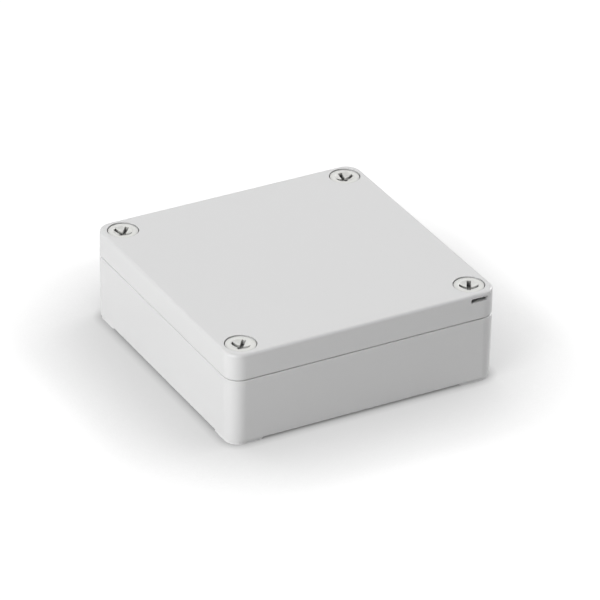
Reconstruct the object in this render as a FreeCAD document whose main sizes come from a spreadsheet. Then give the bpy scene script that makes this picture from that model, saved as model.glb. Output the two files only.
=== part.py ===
import FreeCAD, Part
import math
import os
import Sketcher

# Plastic project box: a moulded base, a lid with a gasket, and four captive lid screws.
# Millimetres. +Z is up and the origin is on the floor, under the middle of the box.
# The lid's slotted side looks along -Y, and the slot is near its +X end.

SIZES = [
    # Outside
    ("width", 100.0, "across the box along X, at the seam"),
    ("depth", 100.0, "across the box along Y, at the seam"),
    ("rim_height", 24.2, "floor to the rim of the base"),
    ("lid_rise", 9.8, "rim of the base to the top of the lid"),
    ("seam_gap", 0.25, "open joint between the two outer walls"),
    ("seam_depth", 1.0, "how far that joint goes in from the outside"),
    ("corner_radius", 5.5, "upright corners, in plan"),
    ("draft_angle", 0.3, "lean of the outer walls, in degrees, away from the seam"),
    ("top_round", 1.1, "round along the lid's top edge"),
    ("bottom_round", 0.8, "round along the base's bottom edge"),
    ("edge_break", 0.2, "small bevel on both sides of the seam"),
    # Walls
    ("wall", 3.0, "side walls of the base"),
    ("floor", 2.5, "floor of the base"),
    ("lid_plate", 2.5, "top of the lid"),
    ("inner_round", 2.5, "inside corners of the cavity"),
    ("block_round", 4.0, "inner corner of each corner block"),
    # Seal between base and lid
    ("tongue_width", 1.3, "upright rim round the cavity"),
    ("tongue_clearance", 0.3, "tongue to the walls of its channel"),
    ("rib_width", 1.3, "lid's rib inside the tongue"),
    ("rib_length", 5.0, "lid's rib, down from the plate"),
    ("gasket_height", 2.4, "gasket strip, pressed"),
    ("gasket_clearance", 0.1, "gasket to the walls of its channel"),
    # Feet
    ("foot_height", 0.8, "floor to the underside of the base"),
    ("foot_length", 12.6, "each corner foot, along X and Y"),
    ("foot_inset", 0.6, "foot back from the outer wall"),
    ("foot_round", 1.5, "foot's inner corners, in plan"),
    # Lid screws, their wells in the lid and their bores in the base
    ("screw_inset", 7.3, "lid screw's axis from the outer walls"),
    ("head_radius", 5.15, "screw head"),
    ("head_height", 4.0, "screw head, from its seat"),
    ("head_drop", 0.3, "head top below the lid's top"),
    ("head_clearance", 0.3, "head to the wall of its well"),
    ("core_radius", 2.45, "shank inside its thread"),
    ("shank_length", 18.2, "seat of the head to the tip"),
    ("shank_clearance", 0.35, "shank to the lid's hole"),
    ("thread_height", 0.65, "thread above the core"),
    ("thread_clearance", 0.15, "thread to the bore in the base"),
    ("bore_spare", 2.3, "bore below the shank's tip"),
    ("well_wall", 1.2, "between a screw well and the gasket channel"),
    # Drive recess of the screws
    ("dish_radius", 3.4, "dish in the head"),
    ("dish_depth", 1.0, "dish below the head's top"),
    ("dish_slope", 1.8, "width of the dish's sloping side"),
    ("arm_radius", 3.2, "reach of the cross from the axis"),
    ("arm_width", 1.5, "width of each arm of the cross"),
    ("arm_end_depth", 1.6, "cross at the end of its arms, below the head's top"),
    ("cross_depth", 2.4, "cross at the axis, below the head's top"),
    ("cross_floor_radius", 0.8, "flat part of the cross's bottom"),
    ("turn_front_left", 42.0, "angle of the cross, in degrees"),
    ("turn_front_right", 60.0, "angle of the cross, in degrees"),
    ("turn_back_left", 38.0, "angle of the cross, in degrees"),
    ("turn_back_right", 2.0, "angle of the cross, in degrees"),
    # Slot that opens one screw well to the outside
    ("slot_width", 6.3, "along X"),
    ("slot_height", 1.5, "along Z"),
    ("slot_drop", 2.2, "top of the lid to the middle of the slot"),
    ("slot_round", 0.25, "corners of the slot"),
    # Wall fixing holes beside the lid screws, outside the seal
    ("fixing_step", 10.7, "lid screw's axis to the fixing hole's, along Y"),
    ("fixing_radius", 2.25, "hole for the wall screw"),
    ("fixing_well_radius", 3.9, "well for the wall screw's head"),
    ("fixing_seat", 5.0, "underside of the base to the seat in the well"),
    ("fixing_wall", 1.9, "between a fixing well and the cavity"),
    # Posts for a circuit board
    ("post_inset_x", 22.0, "board post's axis from the outer wall, along X"),
    ("post_inset_y", 11.0, "board post's axis from the outer wall, along Y"),
    ("post_radius", 3.2, "board post"),
    ("post_height", 5.0, "board post above the floor"),
    ("pilot_radius", 1.4, "hole for a self-tapping screw"),
    ("pilot_depth", 6.0, "depth of that hole"),
]

# Places and sizes that follow from the sheet, as expressions
half_width = "sizes.width / 2"
half_depth = "sizes.depth / 2"
rim = "sizes.rim_height"
lid_bottom = f"({rim} + sizes.seam_gap)"
lid_top = f"({rim} + sizes.lid_rise)"
lid_roof = f"({lid_top} - sizes.lid_plate)"
rib_bottom = f"({lid_roof} - sizes.rib_length)"
tongue_top = f"({lid_roof} - sizes.gasket_height)"
cavity_floor = "(sizes.foot_height + sizes.floor)"
floor_middle = "(sizes.foot_height + sizes.floor / 2)"
screw_x = f"({half_width} - sizes.screw_inset)"
screw_y = f"({half_depth} - sizes.screw_inset)"
fixing_y = f"({screw_y} - sizes.fixing_step)"
board_x = f"({half_width} - sizes.post_inset_x)"
board_y = f"({half_depth} - sizes.post_inset_y)"
well_radius = "(sizes.head_radius + sizes.head_clearance)"
channel_out = "(sizes.tongue_width + sizes.tongue_clearance)"
channel_in = "sizes.tongue_clearance"
rib_in = f"({channel_in} + sizes.rib_width)"
lid_hole_radius = "(sizes.core_radius + sizes.shank_clearance)"
base_bore_radius = "(sizes.core_radius + sizes.thread_height + sizes.thread_clearance)"
head_top = f"({lid_top} - sizes.head_drop)"
seat_height = f"({head_top} - sizes.head_height)"
shank_tip = f"({seat_height} - sizes.shank_length)"

# The cavity is a cross in plan: a corner block takes each corner of the box, outside the seal
cavity_x = f"({half_width} - sizes.wall)"
cavity_y = f"({half_depth} - sizes.wall)"
block_x = f"({screw_x} - {well_radius} - sizes.well_wall - {channel_out})"
block_y = f"({fixing_y} - sizes.fixing_well_radius - sizes.fixing_wall)"

UP = FreeCAD.Vector(0, 0, 1)
FULL_TURN = 360.0
SAME_LEVEL = 1e-4

doc = FreeCAD.newDocument("project_box")
sheet = doc.addObject("Spreadsheet::Sheet", "sizes")
for row, (alias, number, meaning) in enumerate(SIZES, start=1):
    sheet.set(f"A{row}", meaning)
    sheet.set(f"B{row}", str(number))
    sheet.setAlias(f"B{row}", alias)
doc.recompute()


def value(expression):
    """The number that an expression on the sheet gives now."""
    return float(sheet.evalExpression(expression))


def new_body(name):
    body = doc.addObject("PartDesign::Body", name)
    body.Label = name
    return body


def new_sketch(body, name, role, offset):
    """A sketch on one of the body's origin planes, moved along the plane's normal."""
    sketch = body.newObject("Sketcher::SketchObject", name)
    plane = next(item for item in body.Origin.OriginFeatures if item.Role == role)
    sketch.AttachmentSupport = [(plane, "")]
    sketch.MapMode = "FlatFace"
    sketch.setExpression("AttachmentOffset.Base.z", offset)
    return sketch


class Rules:
    """Collects a sketch's constraints, and the expressions that drive some of them, to add them at once."""

    def __init__(self, sketch):
        self.sketch = sketch
        self.constraints = []
        self.driven = {}

    def fix(self, kind, *where):
        self.constraints.append(Sketcher.Constraint(kind, *where))

    def drive(self, kind, *where, by):
        self.driven[len(self.constraints)] = by
        self.constraints.append(Sketcher.Constraint(kind, *where, value(by)))

    def place(self, element, point, x, y):
        """Hold a point of an element at (x, y) from the origin, or on an axis where that is 0."""
        for kind, axis, where in (("DistanceX", -2, x), ("DistanceY", -1, y)):
            if where == "0":
                self.fix("PointOnObject", element, point, axis)
            else:
                self.drive(kind, -1, 1, element, point, by=where)

    def apply(self):
        indices = self.sketch.addConstraint(self.constraints)
        for position, expression in self.driven.items():
            self.sketch.setExpression(f"Constraints[{indices[position]}]", expression)


def square_loop(sketch, corners):
    """A closed outline of upright and level lines, each corner (x, y, radius) rounded by an arc."""
    points = [FreeCAD.Vector(value(x), value(y), 0) for x, y, _ in corners]
    radii = [value(radius) for _, _, radius in corners]
    count = len(corners)
    first = sketch.GeometryCount
    rules = Rules(sketch)
    steps = [(points[(index + 1) % count] - points[index]).normalize() for index in range(count)]
    for index in range(count):
        after = (index + 1) % count
        start = points[index] + steps[index] * radii[index]
        end = points[after] - steps[index] * radii[after]
        sketch.addGeometry(Part.LineSegment(start, end), False)
    for index, (x, y, radius) in enumerate(corners):
        before, after = steps[index - 1], steps[index]
        turns_left = before.cross(after).z > 0
        centre = points[index] + (after - before) * radii[index]
        spoke = before.cross(UP) if turns_left else UP.cross(after)
        begin = math.atan2(spoke.y, spoke.x)
        circle = Part.Circle(centre, UP, radii[index])
        arc = sketch.addGeometry(Part.ArcOfCircle(circle, begin, begin + math.pi / 2), False)
        near, far = (1, 2) if turns_left else (2, 1)
        line_before = first + (index - 1) % count
        line_after = first + index
        upright = abs(steps[index].x) < abs(steps[index].y)
        rules.fix("Coincident", line_before, 2, arc, near)
        rules.fix("Coincident", line_after, 1, arc, far)
        rules.drive("Radius", arc, by=radius)
        if upright:
            rules.fix("Vertical", line_before, 2, arc, 3)
            rules.fix("Horizontal", line_after, 1, arc, 3)
            rules.fix("Vertical", line_after)
            rules.drive("DistanceX", -1, 1, line_after, 1, by=x)
        else:
            rules.fix("Horizontal", line_before, 2, arc, 3)
            rules.fix("Vertical", line_after, 1, arc, 3)
            rules.fix("Horizontal", line_after)
            rules.drive("DistanceY", -1, 1, line_after, 1, by=y)
    rules.apply()


def straight_loop(sketch, points):
    """A closed outline of straight lines through the points (x, y)."""
    vectors = [FreeCAD.Vector(value(x), value(y), 0) for x, y in points]
    count = len(points)
    first = sketch.GeometryCount
    rules = Rules(sketch)
    for index in range(count):
        sketch.addGeometry(Part.LineSegment(vectors[index], vectors[(index + 1) % count]), False)
        rules.fix("Coincident", first + index, 2, first + (index + 1) % count, 1)
    for index, (x, y) in enumerate(points):
        rules.place(first + index, 1, x, y)
    rules.apply()


def four_circles(sketch, x, y, radius):
    """One circle in each quarter of the plan."""
    rules = Rules(sketch)
    for side_x, side_y in ((1, 1), (-1, 1), (-1, -1), (1, -1)):
        centre = FreeCAD.Vector(side_x * value(x), side_y * value(y), 0)
        circle = Part.Circle(centre, UP, value(radius))
        index = sketch.addGeometry(circle, False)
        rules.place(index, 3, f"{side_x} * {x}", f"{side_y} * {y}")
        rules.drive("Radius", index, by=radius)
    rules.apply()


def rectangle(sketch, low_x, low_y, high_x, high_y, radii):
    """A rounded rectangle. The radii go round from its low corner, and may differ."""
    square_loop(sketch, [
        (low_x, low_y, radii[0]),
        (high_x, low_y, radii[1]),
        (high_x, high_y, radii[2]),
        (low_x, high_y, radii[3]),
    ])


def box_outline(sketch, inset="0"):
    """The outside of the box at the seam, or a line inset from it."""
    wide = f"({half_width} - {inset})"
    deep = f"({half_depth} - {inset})"
    radius = f"(sizes.corner_radius - {inset})"
    rectangle(sketch, f"-{wide}", f"-{deep}", wide, deep, [radius] * 4)


def seal_outline(sketch, grow):
    """The outline of the cavity, grown outwards by an expression. It runs inside the four corner blocks."""
    wide = f"({cavity_x} + ({grow}))"
    deep = f"({cavity_y} + ({grow}))"
    block_wide = f"({block_x} + ({grow}))"
    block_deep = f"({block_y} + ({grow}))"
    outward = f"(sizes.inner_round + ({grow}))"
    inward = f"(sizes.block_round - ({grow}))"
    square_loop(sketch, [
        (wide, f"-{block_deep}", outward),
        (wide, block_deep, outward),
        (block_wide, block_deep, inward),
        (block_wide, deep, outward),
        (f"-{block_wide}", deep, outward),
        (f"-{block_wide}", block_deep, inward),
        (f"-{wide}", block_deep, outward),
        (f"-{wide}", f"-{block_deep}", outward),
        (f"-{block_wide}", f"-{block_deep}", inward),
        (f"-{block_wide}", f"-{deep}", outward),
        (block_wide, f"-{deep}", outward),
        (block_wide, f"-{block_deep}", inward),
    ])


def feature(body, kind, name, sketch, length, reverse=False, middle=False, taper=None):
    """A pad or pocket of the sketch. It must add or take away material."""
    before = body.Tip.Shape.Volume if body.Tip else 0.0
    made = body.newObject(f"PartDesign::{kind}", name)
    made.Profile = sketch
    made.setExpression("Length", length)
    made.Reversed = reverse
    made.Midplane = middle
    if taper:
        made.setExpression("TaperAngle", taper)
    sketch.Visibility = False
    doc.recompute()
    gained = made.Shape.Volume - before
    if (gained <= 0) if kind == "Pad" else (gained >= 0):
        raise RuntimeError(f"{body.Label}: {name} changes nothing")
    return made


def dress(body, kind, name, size_name, size, chosen):
    """A fillet or chamfer along the edges of the body that the test picks."""
    base = body.Tip
    edges = [f"Edge{index}" for index, edge in enumerate(base.Shape.Edges, start=1) if chosen(edge)]
    if not edges:
        raise RuntimeError(f"{body.Label}: {name} finds no edge")
    made = body.newObject(f"PartDesign::{kind}", name)
    made.Base = (base, edges)
    made.setExpression(size_name, size)
    doc.recompute()
    return made


def at_level(height, beyond="0"):
    """Picks the level edges at a height that reach beyond a half-width of the plan."""
    level = value(height)
    limit = value(beyond)

    def chosen(edge):
        box = edge.BoundBox
        reach = max(abs(box.XMin), abs(box.XMax), abs(box.YMin), abs(box.YMax))
        flat = abs(box.ZMin - level) < SAME_LEVEL and abs(box.ZMax - level) < SAME_LEVEL
        return flat and reach > limit

    return chosen


def make_base():
    """The lower half: walls and floor, four corner blocks, the tongue, board posts and feet."""
    body = new_body("base")
    outline = new_sketch(body, "base_outline", "XY_Plane", rim)
    box_outline(outline)
    height = f"{rim} - sizes.foot_height"
    feature(body, "Pad", "base_solid", outline, height, reverse=True, taper="-sizes.draft_angle")
    dress(body, "Fillet", "base_bottom_edge", "Radius", "sizes.bottom_round", at_level("sizes.foot_height"))

    cavity = new_sketch(body, "cavity_outline", "XY_Plane", rim)
    seal_outline(cavity, "0")
    feature(body, "Pocket", "cavity", cavity, f"{rim} - {cavity_floor}")

    tongue = new_sketch(body, "tongue_outline", "XY_Plane", rim)
    seal_outline(tongue, "0")
    seal_outline(tongue, "sizes.tongue_width")
    feature(body, "Pad", "tongue", tongue, f"{tongue_top} - {rim}")
    outer_rim = at_level(rim, beyond=f"{half_width} - sizes.edge_break")
    dress(body, "Chamfer", "rim_edge", "Size", "sizes.edge_break", outer_rim)

    feet = new_sketch(body, "foot_outlines", "XY_Plane", floor_middle)
    far_x = f"({half_width} - sizes.foot_inset)"
    far_y = f"({half_depth} - sizes.foot_inset)"
    near_x = f"({far_x} - sizes.foot_length)"
    near_y = f"({far_y} - sizes.foot_length)"
    inner = "sizes.foot_round"
    outer = "(sizes.corner_radius - sizes.foot_inset)"
    rectangle(feet, near_x, near_y, far_x, far_y, [inner, inner, outer, inner])
    rectangle(feet, f"-{far_x}", near_y, f"-{near_x}", far_y, [inner, inner, inner, outer])
    rectangle(feet, f"-{far_x}", f"-{far_y}", f"-{near_x}", f"-{near_y}", [outer, inner, inner, inner])
    rectangle(feet, near_x, f"-{far_y}", far_x, f"-{near_y}", [inner, outer, inner, inner])
    feature(body, "Pad", "feet", feet, floor_middle, reverse=True)

    posts = new_sketch(body, "post_outlines", "XY_Plane", cavity_floor)
    four_circles(posts, board_x, board_y, "sizes.post_radius")
    feature(body, "Pad", "board_posts", posts, "sizes.post_height")
    post_top = f"({cavity_floor} + sizes.post_height)"
    pilots = new_sketch(body, "pilot_outlines", "XY_Plane", post_top)
    four_circles(pilots, board_x, board_y, "sizes.pilot_radius")
    feature(body, "Pocket", "pilot_holes", pilots, "sizes.pilot_depth")

    bores = new_sketch(body, "screw_bore_outlines", "XY_Plane", rim)
    four_circles(bores, screw_x, screw_y, base_bore_radius)
    feature(body, "Pocket", "screw_bores", bores, f"{rim} - {shank_tip} + sizes.bore_spare")

    wells = new_sketch(body, "fixing_well_outlines", "XY_Plane", rim)
    four_circles(wells, screw_x, fixing_y, "sizes.fixing_well_radius")
    feature(body, "Pocket", "fixing_wells", wells, f"{rim} - sizes.foot_height - sizes.fixing_seat")
    holes = new_sketch(body, "fixing_hole_outlines", "XY_Plane", rim)
    four_circles(holes, screw_x, fixing_y, "sizes.fixing_radius")
    feature(body, "Pocket", "fixing_holes", holes, rim)
    return body


def make_lid():
    """The upper half: plate and skirt, the gasket channel and its rib, screw wells and the slot."""
    body = new_body("lid")
    outline = new_sketch(body, "lid_outline", "XY_Plane", lid_bottom)
    box_outline(outline)
    feature(body, "Pad", "lid_solid", outline, f"{lid_top} - {lid_bottom}", taper="-sizes.draft_angle")
    dress(body, "Fillet", "lid_top_edge", "Radius", "sizes.top_round", at_level(lid_top))
    dress(body, "Chamfer", "skirt_edge", "Size", "sizes.edge_break", at_level(lid_bottom))
    seat = new_sketch(body, "seat_outline", "XY_Plane", lid_bottom)
    box_outline(seat, "sizes.seam_depth")
    feature(body, "Pad", "seat", seat, "sizes.seam_gap", reverse=True)

    mouth = new_sketch(body, "mouth_outline", "XY_Plane", rim)
    seal_outline(mouth, channel_out)
    feature(body, "Pocket", "mouth", mouth, f"{rib_bottom} - {rim}", reverse=True)
    hollow = new_sketch(body, "hollow_outline", "XY_Plane", rib_bottom)
    seal_outline(hollow, channel_out)
    seal_outline(hollow, f"-{channel_in}")
    seal_outline(hollow, f"-{rib_in}")
    feature(body, "Pocket", "channel_and_hollow", hollow, f"{lid_roof} - {rib_bottom}", reverse=True)

    wells = new_sketch(body, "screw_well_outlines", "XY_Plane", lid_top)
    four_circles(wells, screw_x, screw_y, well_radius)
    feature(body, "Pocket", "screw_wells", wells, f"{lid_top} - {seat_height}")
    holes = new_sketch(body, "screw_hole_outlines", "XY_Plane", seat_height)
    four_circles(holes, screw_x, screw_y, lid_hole_radius)
    feature(body, "Pocket", "screw_holes", holes, f"{seat_height} - {rim}")

    slot = new_sketch(body, "slot_outline", "XZ_Plane", half_depth)
    slot_middle = f"({lid_top} - sizes.slot_drop)"
    low_x = f"({screw_x} - sizes.slot_width / 2)"
    high_x = f"({screw_x} + sizes.slot_width / 2)"
    low_z = f"({slot_middle} - sizes.slot_height / 2)"
    high_z = f"({slot_middle} + sizes.slot_height / 2)"
    rectangle(slot, low_x, low_z, high_x, high_z, ["sizes.slot_round"] * 4)
    feature(body, "Pocket", "slot", slot, f"{half_depth} - {screw_y}")
    return body


def make_gasket():
    """The seal strip in the lid's channel, lying on the tongue."""
    body = new_body("gasket")
    outline = new_sketch(body, "gasket_outline", "XY_Plane", tongue_top)
    seal_outline(outline, f"{channel_out} - sizes.gasket_clearance")
    seal_outline(outline, f"sizes.gasket_clearance - {channel_in}")
    feature(body, "Pad", "gasket_strip", outline, "sizes.gasket_height")
    return body


def make_screw(name, side_x, side_y, turn):
    """A captive lid screw: a turned shape with a dished head, and a cross recess that deepens inwards."""
    body = new_body(name)
    profile = new_sketch(body, f"{name}_profile", "XZ_Plane", "0")
    tip = "(sizes.head_height + sizes.shank_length)"
    straight_loop(profile, [
        ("0", "-sizes.dish_depth"),
        ("(sizes.dish_radius - sizes.dish_slope)", "-sizes.dish_depth"),
        ("sizes.dish_radius", "0"),
        ("sizes.head_radius", "0"),
        ("sizes.head_radius", "-sizes.head_height"),
        ("sizes.core_radius", "-sizes.head_height"),
        ("sizes.core_radius", f"-{tip}"),
        ("0", f"-{tip}"),
    ])
    turned = body.newObject("PartDesign::Revolution", f"{name}_turned")
    turned.Profile = profile
    turned.ReferenceAxis = (profile, ["V_Axis"])
    turned.Angle = FULL_TURN
    profile.Visibility = False
    doc.recompute()

    for role in ("XZ_Plane", "YZ_Plane"):
        arms = new_sketch(body, f"{name}_arms_{role[:2].lower()}", role, "0")
        straight_loop(arms, [
            ("-sizes.arm_radius", "0"),
            ("-sizes.arm_radius", "-sizes.arm_end_depth"),
            ("-sizes.cross_floor_radius", "-sizes.cross_depth"),
            ("sizes.cross_floor_radius", "-sizes.cross_depth"),
            ("sizes.arm_radius", "-sizes.arm_end_depth"),
            ("sizes.arm_radius", "0"),
        ])
        feature(body, "Pocket", f"{name}_cross_{role[:2].lower()}", arms, "sizes.arm_width", middle=True)

    body.Placement = FreeCAD.Placement(FreeCAD.Vector(), FreeCAD.Rotation(UP, value(turn)))
    body.setExpression("Placement.Base.x", f"{side_x}{screw_x}")
    body.setExpression("Placement.Base.y", f"{side_y}{screw_y}")
    body.setExpression("Placement.Base.z", head_top)
    body.setExpression("Placement.Rotation.Angle", turn)
    return body


parts = [make_base(), make_lid(), make_gasket()]
parts.append(make_screw("lid_screw_front_left", "-", "-", "sizes.turn_front_left"))
parts.append(make_screw("lid_screw_front_right", "", "-", "sizes.turn_front_right"))
parts.append(make_screw("lid_screw_back_left", "-", "", "sizes.turn_back_left"))
parts.append(make_screw("lid_screw_back_right", "", "", "sizes.turn_back_right"))
doc.recompute()

for item in doc.Objects:
    if "Invalid" in item.State or "Error" in item.State:
        raise RuntimeError(f"{item.Label} is {item.State}")
for part in parts:
    if part.Shape.isNull() or not part.Shape.isValid():
        raise RuntimeError(f"{part.Label} has no valid shape")
    if len(part.Shape.Solids) != 1:
        raise RuntimeError(f"{part.Label} has {len(part.Shape.Solids)} solids")

os.makedirs("parts", exist_ok=True)
for part in parts:
    part.Shape.exportStep(f"parts/{part.Label}.step")
    size = part.Shape.BoundBox
    print(f"{part.Label}: {part.Shape.Volume:.0f} mm3, z {size.ZMin:.2f} to {size.ZMax:.2f}")
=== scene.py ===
# %% [markdown]
# # A plastic project box
#
# The object is a light grey box of moulded plastic for a small circuit: a base, a lid that closes on
# a seal strip, and four off-white screws that stay in the lid. The two mouldings come as solids with
# the right shape, so this lesson places the camera, lights a small studio, models the screws and the
# strip in full detail, and gives every piece its finish.

# %% Load the solids
import math

import bpy
from mathutils import Matrix, Vector


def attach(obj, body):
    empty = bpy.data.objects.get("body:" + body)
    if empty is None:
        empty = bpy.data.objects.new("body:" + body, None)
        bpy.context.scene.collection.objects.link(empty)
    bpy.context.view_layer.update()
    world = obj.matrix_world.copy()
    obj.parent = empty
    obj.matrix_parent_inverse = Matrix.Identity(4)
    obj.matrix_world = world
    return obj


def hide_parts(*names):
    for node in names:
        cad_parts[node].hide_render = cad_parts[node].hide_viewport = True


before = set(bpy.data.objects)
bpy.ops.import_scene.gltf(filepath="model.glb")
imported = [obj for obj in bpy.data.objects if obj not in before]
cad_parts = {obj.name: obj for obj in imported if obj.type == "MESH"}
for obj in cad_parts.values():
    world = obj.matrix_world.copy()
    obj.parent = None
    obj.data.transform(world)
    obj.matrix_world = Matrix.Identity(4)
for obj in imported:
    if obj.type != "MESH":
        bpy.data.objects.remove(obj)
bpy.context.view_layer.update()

MM = 0.001

# %% [markdown]
# ## Camera
#
# The picture was taken with a long lens from well away, so the upright edges stay almost parallel.
# The camera is set by two angles about the box, a distance and a small roll. Looking at a point on
# the box's own upright axis keeps these numbers easy to change. The lens and the two shifts are
# worked out in pixels of a square frame, and then turned into millimetres and shares of the frame.

# %% Place the camera
FRAME_PIXELS = 600
SENSOR_MM = 36.0
FOCAL_PIXELS = 4679.6
CENTRE_PIXELS = (293.69, 301.28)
CAMERA_TURN = math.radians(28.68)
CAMERA_RISE = math.radians(29.641)
CAMERA_ROLL = math.radians(0.821)
CAMERA_DISTANCE = 1573.4 * MM
AIM_HEIGHT = 16.92 * MM
CLIP_NEAR = 10 * MM
CLIP_FAR = 100.0


def place_camera():
    """A camera on the box's front left side, looking down at its upright axis."""
    level = math.cos(CAMERA_RISE)
    back = Vector((
        -math.sin(CAMERA_TURN) * level,
        -math.cos(CAMERA_TURN) * level,
        math.sin(CAMERA_RISE),
    ))
    right = (-back).cross(Vector((0, 0, 1))).normalized()
    up = right.cross(-back)
    tipped_right = right * math.cos(CAMERA_ROLL) + up * math.sin(CAMERA_ROLL)
    tipped_up = up * math.cos(CAMERA_ROLL) - right * math.sin(CAMERA_ROLL)
    bpy.ops.object.camera_add()
    camera = bpy.context.object
    camera.name = "camera"
    turn = Matrix((tipped_right, tipped_up, back)).transposed().to_4x4()
    spot = Vector((0, 0, AIM_HEIGHT)) + back * CAMERA_DISTANCE
    camera.matrix_world = Matrix.Translation(spot) @ turn
    camera.data.sensor_width = SENSOR_MM
    camera.data.lens = FOCAL_PIXELS / FRAME_PIXELS * SENSOR_MM
    camera.data.shift_x = (FRAME_PIXELS / 2 - CENTRE_PIXELS[0]) / FRAME_PIXELS
    camera.data.shift_y = (CENTRE_PIXELS[1] - FRAME_PIXELS / 2) / FRAME_PIXELS
    camera.data.clip_start = CLIP_NEAR
    camera.data.clip_end = CLIP_FAR
    bpy.context.scene.camera = camera
    return camera


camera = place_camera()
bpy.context.scene.view_settings.view_transform = "Standard"
print("lens in mm:", round(camera.data.lens, 1))

# %% [markdown]
# ## Lights
#
# Soft light shows the form of a plain box: each face gets one even tone, and the rounded corners get
# a slow change from one tone to the next. Area lights do this, because a large rectangle has no hard
# shadow. Two big panels hang behind and to the right, high up, and light the top. Three smaller ones
# on the left light the left face, and the highest of them also glows in the rounded front corner.
# A low one on the right puts a glint on the right corner. Each panel is turned to face the box.

# %% Hang the light panels
PANEL_AIM = Vector((0, 0, 20 * MM))
# Each panel has its place, its width and its height in metres, and its power in watts.
PANELS = {
    "high_back": ((0.1, 0.9, 0.9), 1.4, 1.0, 3.4),
    "high_right": ((0.9, 0.1, 0.9), 1.0, 1.4, 8.4),
    "front_left": ((-1.05, -0.5, 0.8), 0.58, 0.5, 10.1),
    "left_side": ((-1.25, 0.05, 0.65), 0.8, 0.5, 4.1),
    "low_left": ((-1.3, -0.45, 0.2), 0.9, 0.35, 3.7),
    "right_side": ((1.4, 0.2, 0.35), 0.8, 0.5, 7.8),
}


def hang_panel(name, place, width, height, watts):
    """A soft rectangle of light that faces the box."""
    data = bpy.data.lights.new(name, "AREA")
    data.shape = "RECTANGLE"
    data.size = width
    data.size_y = height
    data.energy = watts
    panel = bpy.data.objects.new(name, data)
    bpy.context.scene.collection.objects.link(panel)
    panel.location = place
    panel.rotation_mode = "QUATERNION"
    panel.rotation_quaternion = (PANEL_AIM - Vector(place)).to_track_quat("-Z", "Y")


for name, (place, width, height, watts) in PANELS.items():
    hang_panel(name, place, width, height, watts)
print("light panels:", list(PANELS))

# %% [markdown]
# The world gives the white that lies behind the box. It could also light the scene, but then it would
# flatten the faces. So a Light Path node shows it only to the camera and in reflections.

# %% White world
world = bpy.data.worlds.new("white_studio")
bpy.context.scene.world = world
world.use_nodes = True
nodes, links = world.node_tree.nodes, world.node_tree.links
background = nodes["Background"]
background.inputs["Color"].default_value = (1, 1, 1, 1)
ray = nodes.new("ShaderNodeLightPath")
seen = nodes.new("ShaderNodeMath")
seen.operation = "MAXIMUM"
links.new(ray.outputs["Is Camera Ray"], seen.inputs[0])
links.new(ray.outputs["Is Glossy Ray"], seen.inputs[1])
links.new(seen.outputs[0], background.inputs["Strength"])
print("world:", world.name)

# %% [markdown]
# ## Floor
#
# The box stands on white paper that fades into a white background. The shade on it is painted: the
# Ambient Occlusion node measures how open a point is, and the floor glows for the camera by its output,
# so it is brightest where nothing hides the sky and darkest beside the box. A wide reach gives the
# painted soft shade on all sides, and a short one gives the painted dark line of contact. A small share
# of the paper's own colour stays under the glow, so the panels' shadows still fall. All other rays
# meet plain white paper, which throws light back on the box.

# %% Lay the floor
FLOOR_SIZE = 12.0
FLOOR_BOUNCE = 0.82
FLOOR_SEEN = 0.18
PAINTED_SHADE_REACH = 45 * MM
PAINTED_SHADE_POWER = 4.6
PAINTED_SHADE_FLOOR = 0.51
PAINTED_SHADE_GAIN = 0.41
PAINTED_CONTACT_REACH = 3.5 * MM
PAINTED_CONTACT_POWER = 0.6


def new_material(name):
    """An empty material with one shader, and its nodes and links."""
    material = bpy.data.materials.new(name)
    material.use_nodes = True
    tree = material.node_tree
    return material, tree.nodes, tree.links, tree.nodes["Principled BSDF"]


def math_node(nodes, links, operation, first, second):
    """A Math node. Each input is a number or an output to link."""
    node = nodes.new("ShaderNodeMath")
    node.operation = operation
    for slot, source in enumerate((first, second)):
        if isinstance(source, (int, float)):
            node.inputs[slot].default_value = source
        else:
            links.new(source, node.inputs[slot])
    return node.outputs[0]


def lay_floor():
    """A plane of white paper that glows with painted shade, by how open it is."""
    bpy.ops.object.select_all(action="DESELECT")
    bpy.ops.mesh.primitive_plane_add(size=FLOOR_SIZE)
    floor = bpy.context.object
    floor.name = "floor"
    material, nodes, links, shader = new_material("white_paper")
    shader.inputs["Roughness"].default_value = 1.0
    shader.inputs["Specular IOR Level"].default_value = 0.0
    ray = nodes.new("ShaderNodeLightPath")
    wide = nodes.new("ShaderNodeAmbientOcclusion")
    near = nodes.new("ShaderNodeAmbientOcclusion")
    wide.inputs["Distance"].default_value = PAINTED_SHADE_REACH
    near.inputs["Distance"].default_value = PAINTED_CONTACT_REACH
    paper = nodes.new("ShaderNodeMix")
    paper.data_type = "RGBA"
    paper.inputs["A"].default_value = (FLOOR_BOUNCE, FLOOR_BOUNCE, FLOOR_BOUNCE, 1)
    paper.inputs["B"].default_value = (FLOOR_SEEN, FLOOR_SEEN, FLOOR_SEEN, 1)
    links.new(ray.outputs["Is Camera Ray"], paper.inputs["Factor"])
    links.new(paper.outputs["Result"], shader.inputs["Base Color"])
    # Painted shade: the floor's glow for the camera is dimmed where the box closes it in.
    shaded = math_node(nodes, links, "POWER", wide.outputs["AO"], PAINTED_SHADE_POWER)
    scaled = math_node(nodes, links, "MULTIPLY", shaded, PAINTED_SHADE_GAIN)
    raised = math_node(nodes, links, "ADD", scaled, PAINTED_SHADE_FLOOR)
    contact = math_node(nodes, links, "POWER", near.outputs["AO"], PAINTED_CONTACT_POWER)
    both = math_node(nodes, links, "MULTIPLY", raised, contact)
    glow = math_node(nodes, links, "MULTIPLY", both, ray.outputs["Is Camera Ray"])
    shader.inputs["Emission Color"].default_value = (1, 1, 1, 1)
    links.new(glow, shader.inputs["Emission Strength"])
    floor.data.materials.append(material)


lay_floor()
print("floor:", FLOOR_SIZE, "m wide")

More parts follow.
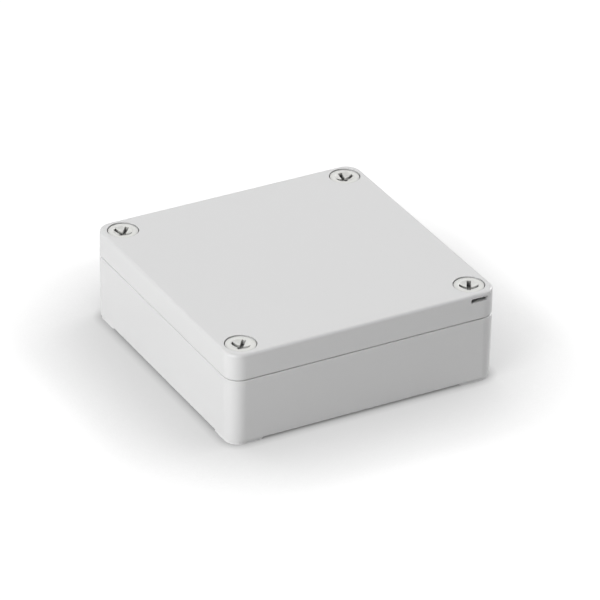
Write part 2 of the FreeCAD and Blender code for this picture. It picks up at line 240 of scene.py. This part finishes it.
# %% [markdown]
# ## The lid screws
#
# Each lid screw is one moulding of hard off-white plastic: a flat head with a round dish, a cross for
# the driver, and a shank with a coarse thread. A turned shape can be spun from a profile, or grown
# from a cylinder. A cylinder is used here, because insets and extrusions keep its rings of faces tidy.
# All four screws are alike, so one is modelled on the upright axis and copied.
#
# A few steps come back again and again: making one object active, choosing faces by a test, drawing
# them out and applying a modifier. Each is a short function, so the cells below stay easy to read.

# %% Tools for edit mode
LEVEL_LIMIT = 0.9


def only(thing):
    """Selects one object and makes it the active one."""
    bpy.ops.object.select_all(action="DESELECT")
    thing.select_set(True)
    bpy.context.view_layer.objects.active = thing


def choose_faces(thing, wanted):
    """Goes into edit mode with just the faces selected that pass a test."""
    bpy.ops.object.mode_set(mode="OBJECT")
    for elements in (thing.data.vertices, thing.data.edges, thing.data.polygons):
        elements.foreach_set("select", [False] * len(elements))
    for face in thing.data.polygons:
        face.select = wanted(face)
    bpy.ops.object.mode_set(mode="EDIT")
    bpy.ops.mesh.select_mode(type="FACE")


def looks_up(face):
    """A test for choose_faces: the face looks upwards."""
    return face.normal.z > LEVEL_LIMIT


def looks_down(face):
    """A test for choose_faces: the face looks downwards."""
    return face.normal.z < -LEVEL_LIMIT


def draw_out(z):
    """Extrudes the selected faces straight up or down."""
    bpy.ops.mesh.extrude_region_move(TRANSFORM_OT_translate={"value": (0, 0, z)})


def apply_modifier(thing, kind, **settings):
    """Adds one modifier, sets it up and applies it."""
    only(thing)
    modifier = thing.modifiers.new(kind.lower(), kind)
    for name, setting in settings.items():
        setattr(modifier, name, setting)
    bpy.ops.object.modifier_apply(modifier=modifier.name)


print("tools:", [tool.__name__ for tool in (only, choose_faces, draw_out, apply_modifier)])

# %% [markdown]
# The cylinder itself is the head. Its underside is inset until the inner face is as wide as the
# shank's core, and that face is drawn down twice. The first draw makes the straight shank. The second
# is shrunk at its end, which makes the tapered tip.

# %% The head and the shank
HEAD_TOP = 33.7 * MM
HEAD_RADIUS = 5.15 * MM
HEAD_HEIGHT = 4.0 * MM
HEAD_SIDES = 96
CORE_RADIUS = 2.45 * MM
SHANK_TIP = 11.5 * MM
TIP_LENGTH = 1.2 * MM
TIP_SHARE = 0.72


def turned_screw():
    """A cylinder for the head, with the shank and its tapered tip drawn out of the underside."""
    bpy.ops.object.select_all(action="DESELECT")
    bpy.ops.mesh.primitive_cylinder_add(
        vertices=HEAD_SIDES, radius=HEAD_RADIUS, depth=HEAD_HEIGHT,
        location=(0, 0, HEAD_TOP - HEAD_HEIGHT / 2))
    screw = bpy.context.object
    screw.name = "screw"
    bpy.ops.object.transform_apply(location=True)
    choose_faces(screw, looks_down)
    bpy.ops.mesh.inset(thickness=HEAD_RADIUS - CORE_RADIUS)
    draw_out(SHANK_TIP + TIP_LENGTH - (HEAD_TOP - HEAD_HEIGHT))
    draw_out(-TIP_LENGTH)
    bpy.ops.transform.resize(value=(TIP_SHARE, TIP_SHARE, 1), center_override=(0, 0, SHANK_TIP))
    bpy.ops.object.mode_set(mode="OBJECT")
    return screw


screw = turned_screw()
print("turned screw in mm:", [round(side / MM, 2) for side in screw.dimensions])

# %% [markdown]
# The dish is part of a large sphere. It is pressed in ring by ring: each inset goes a little further
# in and a little deeper, so the rings lie on the sphere.

# %% The round dish
DISH_RADIUS = 3.4 * MM
DISH_DEPTH = 1.2 * MM
DISH_RINGS = 10
DISH_TIP = 0.1 * MM
DISH_CENTRE = (DISH_RADIUS ** 2 - DISH_DEPTH ** 2) / (2 * DISH_DEPTH)
DISH_SPHERE = DISH_CENTRE + DISH_DEPTH


def dish_drop(radius):
    """How far the dish lies below the head's top, at a distance from the axis."""
    return math.sqrt(DISH_SPHERE ** 2 - radius ** 2) - DISH_CENTRE


choose_faces(screw, looks_up)
bpy.ops.mesh.inset(thickness=HEAD_RADIUS - DISH_RADIUS)
radii = [DISH_RADIUS * (1 - ring / DISH_RINGS) for ring in range(DISH_RINGS)] + [DISH_TIP]
for outer, inner in zip(radii, radii[1:]):
    bpy.ops.mesh.inset(thickness=outer - inner, depth=dish_drop(outer) - dish_drop(inner))
bpy.ops.object.mode_set(mode="OBJECT")
print("dish:", len(radii) - 1, "rings, deepest", round(dish_drop(0) / MM, 2), "mm")

# %% [markdown]
# The thread stands proud of the shank's core. A screw modifier sweeps a small section up a helix, and
# a boolean union welds the sweep to the core, so no loose wall is left inside.

# %% The thread
THREAD_HEIGHT = 0.65 * MM
THREAD_SINK = 0.15 * MM
THREAD_PITCH = 2.0 * MM
THREAD_TURNS = 5
THREAD_START = 12.9 * MM
THREAD_ROOT = 1.1 * MM
THREAD_CREST = 0.3 * MM
THREAD_STEPS = 32


def thread():
    """One ridge round the shank, wide at the core and narrow at its crest."""
    width = THREAD_HEIGHT + THREAD_SINK
    middle = CORE_RADIUS - THREAD_SINK + width / 2
    centre = (middle, 0, THREAD_START)
    bpy.ops.object.select_all(action="DESELECT")
    bpy.ops.mesh.primitive_plane_add(size=1, location=centre, rotation=(math.pi / 2, 0, 0))
    ridge = bpy.context.object
    ridge.name = "thread"
    ridge.scale = (width, THREAD_ROOT, 1)
    bpy.ops.object.transform_apply(location=True, rotation=True, scale=True)
    for corner in ridge.data.vertices:
        corner.select = corner.co.x > middle
    bpy.ops.object.mode_set(mode="EDIT")
    bpy.ops.mesh.select_mode(type="VERT")
    bpy.ops.transform.resize(value=(1, 1, THREAD_CREST / THREAD_ROOT), center_override=centre)
    bpy.ops.mesh.select_all(action="SELECT")
    bpy.ops.mesh.delete(type="ONLY_FACE")
    bpy.ops.object.mode_set(mode="OBJECT")
    apply_modifier(
        ridge, "SCREW", axis="Z", steps=THREAD_STEPS, render_steps=THREAD_STEPS,
        iterations=THREAD_TURNS, screw_offset=THREAD_PITCH, use_merge_vertices=False)
    bpy.ops.object.mode_set(mode="EDIT")
    bpy.ops.mesh.select_all(action="SELECT")
    bpy.ops.mesh.fill_holes(sides=4)
    bpy.ops.mesh.normals_make_consistent(inside=False)
    bpy.ops.object.mode_set(mode="OBJECT")
    return ridge


ridge = thread()
apply_modifier(screw, "BOOLEAN", operation="UNION", object=ridge, solver="EXACT")
bpy.data.objects.remove(ridge, do_unlink=True)
print("threaded screw:", len(screw.data.polygons), "faces")

# %% [markdown]
# The driver's cross is cut with two crossed blades. Each blade is a box whose lower end is drawn down
# and in, so the arms end in upright walls and the floor drops towards the axis.

# %% The cross
ARM_RADIUS = 3.2 * MM
ARM_WIDTH = 1.4 * MM
ARM_END_DEPTH = 1.8 * MM
CROSS_DEPTH = 2.2 * MM
CROSS_FLOOR_RADIUS = 0.8 * MM
BLADE_ABOVE = 1.0 * MM


def blade(length_x, length_y, floor_x, floor_y):
    """A cutter for two opposite arms: a box drawn down to a smaller floor."""
    depth = ARM_END_DEPTH + BLADE_ABOVE
    bpy.ops.object.select_all(action="DESELECT")
    bpy.ops.mesh.primitive_cube_add(
        size=1, location=(0, 0, HEAD_TOP + BLADE_ABOVE - depth / 2), scale=(length_x, length_y, depth))
    cutter = bpy.context.object
    bpy.ops.object.transform_apply(location=True, scale=True)
    choose_faces(cutter, looks_down)
    draw_out(ARM_END_DEPTH - CROSS_DEPTH)
    bpy.ops.transform.resize(
        value=(floor_x / length_x, floor_y / length_y, 1), center_override=(0, 0, HEAD_TOP - CROSS_DEPTH))
    bpy.ops.object.mode_set(mode="OBJECT")
    return cutter


reach, floor_reach = 2 * ARM_RADIUS, 2 * CROSS_FLOOR_RADIUS
for sizes in ((reach, ARM_WIDTH, floor_reach, ARM_WIDTH), (ARM_WIDTH, reach, ARM_WIDTH, floor_reach)):
    cutter = blade(*sizes)
    apply_modifier(screw, "BOOLEAN", operation="DIFFERENCE", object=cutter, solver="EXACT")
    bpy.data.objects.remove(cutter, do_unlink=True)
print("screw with its cross:", len(screw.data.polygons), "faces")

# %% [markdown]
# Moulded edges are never knife sharp. A narrow bevel on every edge over thirty degrees catches a thin
# line of light, and smooth shading by angle keeps the flats flat.

# %% Soften the screw's edges
SMOOTH_ANGLE = math.radians(30)
EDGE_WIDTH = 0.08 * MM
EDGE_SEGMENTS = 2


def soften(thing, width, angle, segments):
    """Bevels the edges over an angle and shades the rest smooth."""
    apply_modifier(thing, "BEVEL", width=width, segments=segments, limit_method="ANGLE", angle_limit=angle)
    only(thing)
    bpy.ops.object.shade_smooth_by_angle(angle=SMOOTH_ANGLE)


soften(screw, EDGE_WIDTH, SMOOTH_ANGLE, EDGE_SEGMENTS)
print("finished screw:", len(screw.data.polygons), "faces")

# %% [markdown]
# The four copies differ only in where they stand and in how far they were turned home. Turn and place
# go into each copy's own mesh, so every object stays at the origin, as the solids do.

# %% Fit the four screws
SCREW_REACH = 42.7 * MM
CORNERS = {
    "front_left": (-1, -1, 42),
    "front_right": (1, -1, 60),
    "back_left": (-1, 1, 38),
    "back_right": (1, 1, 2),
}


def fit_screw(corner, side_x, side_y, degrees):
    """A copy of the screw, in its well and turned home."""
    fitted = screw.copy()
    fitted.data = screw.data.copy()
    fitted.name = f"fitted_screw_{corner}"
    bpy.context.scene.collection.objects.link(fitted)
    place = Matrix.Translation((side_x * SCREW_REACH, side_y * SCREW_REACH, 0))
    fitted.data.transform(place @ Matrix.Rotation(math.radians(degrees), 4, "Z"))
    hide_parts(f"lid_screw_{corner}")
    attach(fitted, f"screw_{corner}")
    return fitted


screws = [fit_screw(corner, *placing) for corner, placing in CORNERS.items()]
bpy.data.objects.remove(screw, do_unlink=True)
print("fitted:", [fitted.name for fitted in screws])

# %% [markdown]
# ## The seal strip
#
# A soft strip lies in the lid's channel and is pressed on the base's upright rim. Its solid has square
# edges, and a real strip is rounded. A copy of the solid is enough to start from: its loose triangles
# are merged, its flats are joined up, and a bevel rounds its four long edges.

# %% The seal strip
STRIP_ROUND = 0.35 * MM
STRIP_ANGLE = math.radians(60)
STRIP_SEGMENTS = 3
MERGE_REACH = 0.01 * MM
FLAT_ANGLE = math.radians(1)


def seal_strip():
    """The gasket's solid, merged and rounded."""
    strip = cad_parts["gasket"].copy()
    strip.data = strip.data.copy()
    strip.name = "seal_strip"
    bpy.context.scene.collection.objects.link(strip)
    only(strip)
    bpy.ops.object.mode_set(mode="EDIT")
    bpy.ops.mesh.select_all(action="SELECT")
    bpy.ops.mesh.remove_doubles(threshold=MERGE_REACH)
    bpy.ops.mesh.dissolve_limited(angle_limit=FLAT_ANGLE)
    bpy.ops.object.mode_set(mode="OBJECT")
    soften(strip, STRIP_ROUND, STRIP_ANGLE, STRIP_SEGMENTS)
    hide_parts("gasket")
    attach(strip, "lid")
    return strip


strip = seal_strip()
print("seal strip:", len(strip.data.polygons), "faces")

# %% [markdown]
# ## Finishes
#
# Three effects come back in more than one plastic, so each is a node group. The first is the fine
# grain that a spark-eroded mould leaves, as a bump. The second is a slow drift of tone and gloss over
# a moulding, as the plastic cooled unevenly. Both read Object coordinates, because every piece has
# its place in its mesh and the pattern then stays put. The third is painted shade: it darkens the
# colour of narrow gaps and recesses, where Ambient Occlusion finds walls within a short reach, and a
# higher power makes the painted shade darker.

# %% Node groups for moulded plastic
MM_PER_METRE = 1000.0
GRAIN_DETAIL = 2.0
DRIFT_DETAIL = 3.0
PAINTED_SHADE_SAMPLES = 8


def new_group(name, inputs, outputs):
    """A shader group with named inputs (kind, name, first number) and outputs (kind, name)."""
    group = bpy.data.node_groups.new(name, "ShaderNodeTree")
    for kind, label, number in inputs:
        socket = group.interface.new_socket(label, in_out="INPUT", socket_type=f"NodeSocket{kind}")
        socket.default_value = number
    for kind, label in outputs:
        group.interface.new_socket(label, in_out="OUTPUT", socket_type=f"NodeSocket{kind}")
    nodes = group.nodes
    return group, nodes, group.links, nodes.new("NodeGroupInput"), nodes.new("NodeGroupOutput")


def noise(nodes, links, scale, detail):
    """A noise pattern on Object coordinates. The scale is an output to link."""
    where = nodes.new("ShaderNodeTexCoord")
    pattern = nodes.new("ShaderNodeTexNoise")
    pattern.inputs["Detail"].default_value = detail
    links.new(where.outputs["Object"], pattern.inputs["Vector"])
    links.new(scale, pattern.inputs["Scale"])
    return pattern.outputs["Fac"]


def scaled_colour(nodes, links, colour, factor):
    """A colour times a number. Both are outputs to link."""
    scaled = nodes.new("ShaderNodeVectorMath")
    scaled.operation = "SCALE"
    links.new(colour, scaled.inputs[0])
    links.new(factor, scaled.inputs["Scale"])
    return scaled.outputs["Vector"]


def grain_group():
    """Grain as a bump: a noise of a given size and depth, in millimetres."""
    group, nodes, links, given, made = new_group(
        "mould_grain", [("Float", "Size", 0.3), ("Float", "Depth", 0.004)], [("Vector", "Normal")])
    per_metre = math_node(nodes, links, "DIVIDE", MM_PER_METRE, given.outputs["Size"])
    pattern = noise(nodes, links, per_metre, GRAIN_DETAIL)
    bump = nodes.new("ShaderNodeBump")
    bump.inputs["Strength"].default_value = 1.0
    depth = math_node(nodes, links, "MULTIPLY", given.outputs["Depth"], MM)
    links.new(depth, bump.inputs["Distance"])
    links.new(pattern, bump.inputs["Height"])
    links.new(bump.outputs["Normal"], made.inputs["Normal"])
    return group


def drift_group():
    """A colour and a roughness that both drift a little, over patches of a given size."""
    group, nodes, links, given, made = new_group(
        "tone_drift",
        [("Color", "Color", (1, 1, 1, 1)), ("Float", "Size", 30.0), ("Float", "Tone", 0.01),
         ("Float", "Gloss", 0.02), ("Float", "Roughness", 0.3)],
        [("Color", "Color"), ("Float", "Roughness")])
    per_metre = math_node(nodes, links, "DIVIDE", MM_PER_METRE, given.outputs["Size"])
    pattern = noise(nodes, links, per_metre, DRIFT_DETAIL)
    centred = math_node(nodes, links, "SUBTRACT", pattern, 0.5)
    tone = math_node(nodes, links, "MULTIPLY", centred, given.outputs["Tone"])
    factor = math_node(nodes, links, "ADD", tone, 1.0)
    drifted = scaled_colour(nodes, links, given.outputs["Color"], factor)
    links.new(drifted, made.inputs["Color"])
    gloss = math_node(nodes, links, "MULTIPLY", centred, given.outputs["Gloss"])
    rough = math_node(nodes, links, "ADD", given.outputs["Roughness"], gloss)
    links.new(rough, made.inputs["Roughness"])
    return group


def painted_gap_shade_group():
    """A colour with painted shade: darker where walls stand within a reach, in millimetres."""
    group, nodes, links, given, made = new_group(
        "painted_gap_shade",
        [("Color", "Color", (1, 1, 1, 1)), ("Float", "Reach", 2.0), ("Float", "Power", 1.0)],
        [("Color", "Color")])
    openness = nodes.new("ShaderNodeAmbientOcclusion")
    openness.samples = PAINTED_SHADE_SAMPLES
    reach = math_node(nodes, links, "MULTIPLY", given.outputs["Reach"], MM)
    links.new(reach, openness.inputs["Distance"])
    # Painted shade: the colour is darkened by how closed-in the point is.
    light = math_node(nodes, links, "POWER", openness.outputs["AO"], given.outputs["Power"])
    shaded = scaled_colour(nodes, links, given.outputs["Color"], light)
    links.new(shaded, made.inputs["Color"])
    return group


GRAIN = grain_group()
DRIFT = drift_group()
PAINTED_GAP_SHADE = painted_gap_shade_group()
print("node groups:", [group.name for group in bpy.data.node_groups])

# %% [markdown]
# The four finishes differ only in numbers, so one function makes them all. Colour and roughness come
# from the drift, and the grain goes to the normal. A finish may also pass its colour through the
# painted gap shade, which paints shade into it on the way to the shader.

# %% One function for every finish
PATCH_SIZE = 30.0
TONE_DRIFT = 0.01
GLOSS_DRIFT = 0.02
PLASTIC_IOR = 1.5


def place_group(nodes, group, **numbers):
    """A node for a group, with its inputs set."""
    node = nodes.new("ShaderNodeGroup")
    node.node_tree = group
    for label, number in numbers.items():
        node.inputs[label].default_value = number
    return node


def moulded(name, colour, roughness, grain_size, grain_depth, gap=None, tone=TONE_DRIFT):
    """A plastic or rubber with fine grain and a slow drift. The painted gap shade is a reach and a power.
    """
    material, nodes, links, shader = new_material(name)
    drift = place_group(
        nodes, DRIFT, Color=(*colour, 1), Size=PATCH_SIZE, Tone=tone, Gloss=GLOSS_DRIFT,
        Roughness=roughness)
    grain = place_group(nodes, GRAIN, Size=grain_size, Depth=grain_depth)
    seen = drift.outputs["Color"]
    # Painted shade goes into the colour here, when a finish asks for it.
    if gap:
        shade = place_group(nodes, PAINTED_GAP_SHADE, Reach=gap[0], Power=gap[1])
        links.new(seen, shade.inputs["Color"])
        seen = shade.outputs["Color"]
    links.new(seen, shader.inputs["Base Color"])
    links.new(drift.outputs["Roughness"], shader.inputs["Roughness"])
    links.new(grain.outputs["Normal"], shader.inputs["Normal"])
    shader.inputs["IOR"].default_value = PLASTIC_IOR
    return material


print("tone drifts over patches of", PATCH_SIZE, "mm")

# %% [markdown]
# The base and the lid are one light grey, the screws are off-white and the strip is black rubber,
# which is duller and coarser. Two finishes paint shade into their colour with the gap shade: the lid
# weakly, for its wide slot, and the screws strongly and with a short reach, for their deep cross. The
# base needs none, because the panels alone give the seam its tone: the low light from the left reaches
# into it on the left face, and not on the slotted one.

# %% The four finishes
GREY = (0.70, 0.70, 0.70)
OFF_WHITE = (0.75, 0.75, 0.725)
BLACK = (0.06, 0.06, 0.06)
PLASTIC_ROUGHNESS = 0.28
PLASTIC_GRAIN = 0.25
BOX_GRAIN_DEPTH = 0.0015
SCREW_GRAIN_DEPTH = 0.001
RUBBER_ROUGHNESS = 0.75
RUBBER_GRAIN = 0.35
RUBBER_GRAIN_DEPTH = 0.006
RUBBER_TONE_DRIFT = 0.15
# Painted shade for the lid's slot and the screws' cross: a reach in millimetres and a power.
LID_PAINTED_SHADE = (3.0, 0.15)
SCREW_PAINTED_SHADE = (1.3, 2.8)

BASE = moulded("base_plastic", GREY, PLASTIC_ROUGHNESS, PLASTIC_GRAIN, BOX_GRAIN_DEPTH)
LID = moulded("lid_plastic", GREY, PLASTIC_ROUGHNESS, PLASTIC_GRAIN, BOX_GRAIN_DEPTH, gap=LID_PAINTED_SHADE)
SCREW = moulded(
    "screw_plastic", OFF_WHITE, PLASTIC_ROUGHNESS, PLASTIC_GRAIN, SCREW_GRAIN_DEPTH, gap=SCREW_PAINTED_SHADE)
RUBBER = moulded(
    "seal_rubber", BLACK, RUBBER_ROUGHNESS, RUBBER_GRAIN, RUBBER_GRAIN_DEPTH, tone=RUBBER_TONE_DRIFT)
print("finishes:", [material.name for material in (BASE, LID, SCREW, RUBBER)])

# %% [markdown]
# Every piece has one material slot. Linking the slot to the object keeps the finish with the piece,
# even where two pieces share a mesh. The solids are dressed first, then the screws and the strip.

# %% Dress the pieces
def dress_piece(thing, material):
    """Gives a piece its finish in its one material slot."""
    if not thing.material_slots:
        thing.data.materials.append(None)
    thing.material_slots[0].link = "OBJECT"
    thing.material_slots[0].material = material


FINISHES = {"base": BASE, "lid": LID, "gasket": RUBBER}
for node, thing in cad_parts.items():
    dress_piece(thing, FINISHES.get(node, SCREW))
for fitted in screws:
    dress_piece(fitted, SCREW)
dress_piece(strip, RUBBER)
print("dressed:", len(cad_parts), "solids,", len(screws), "screws and the strip")
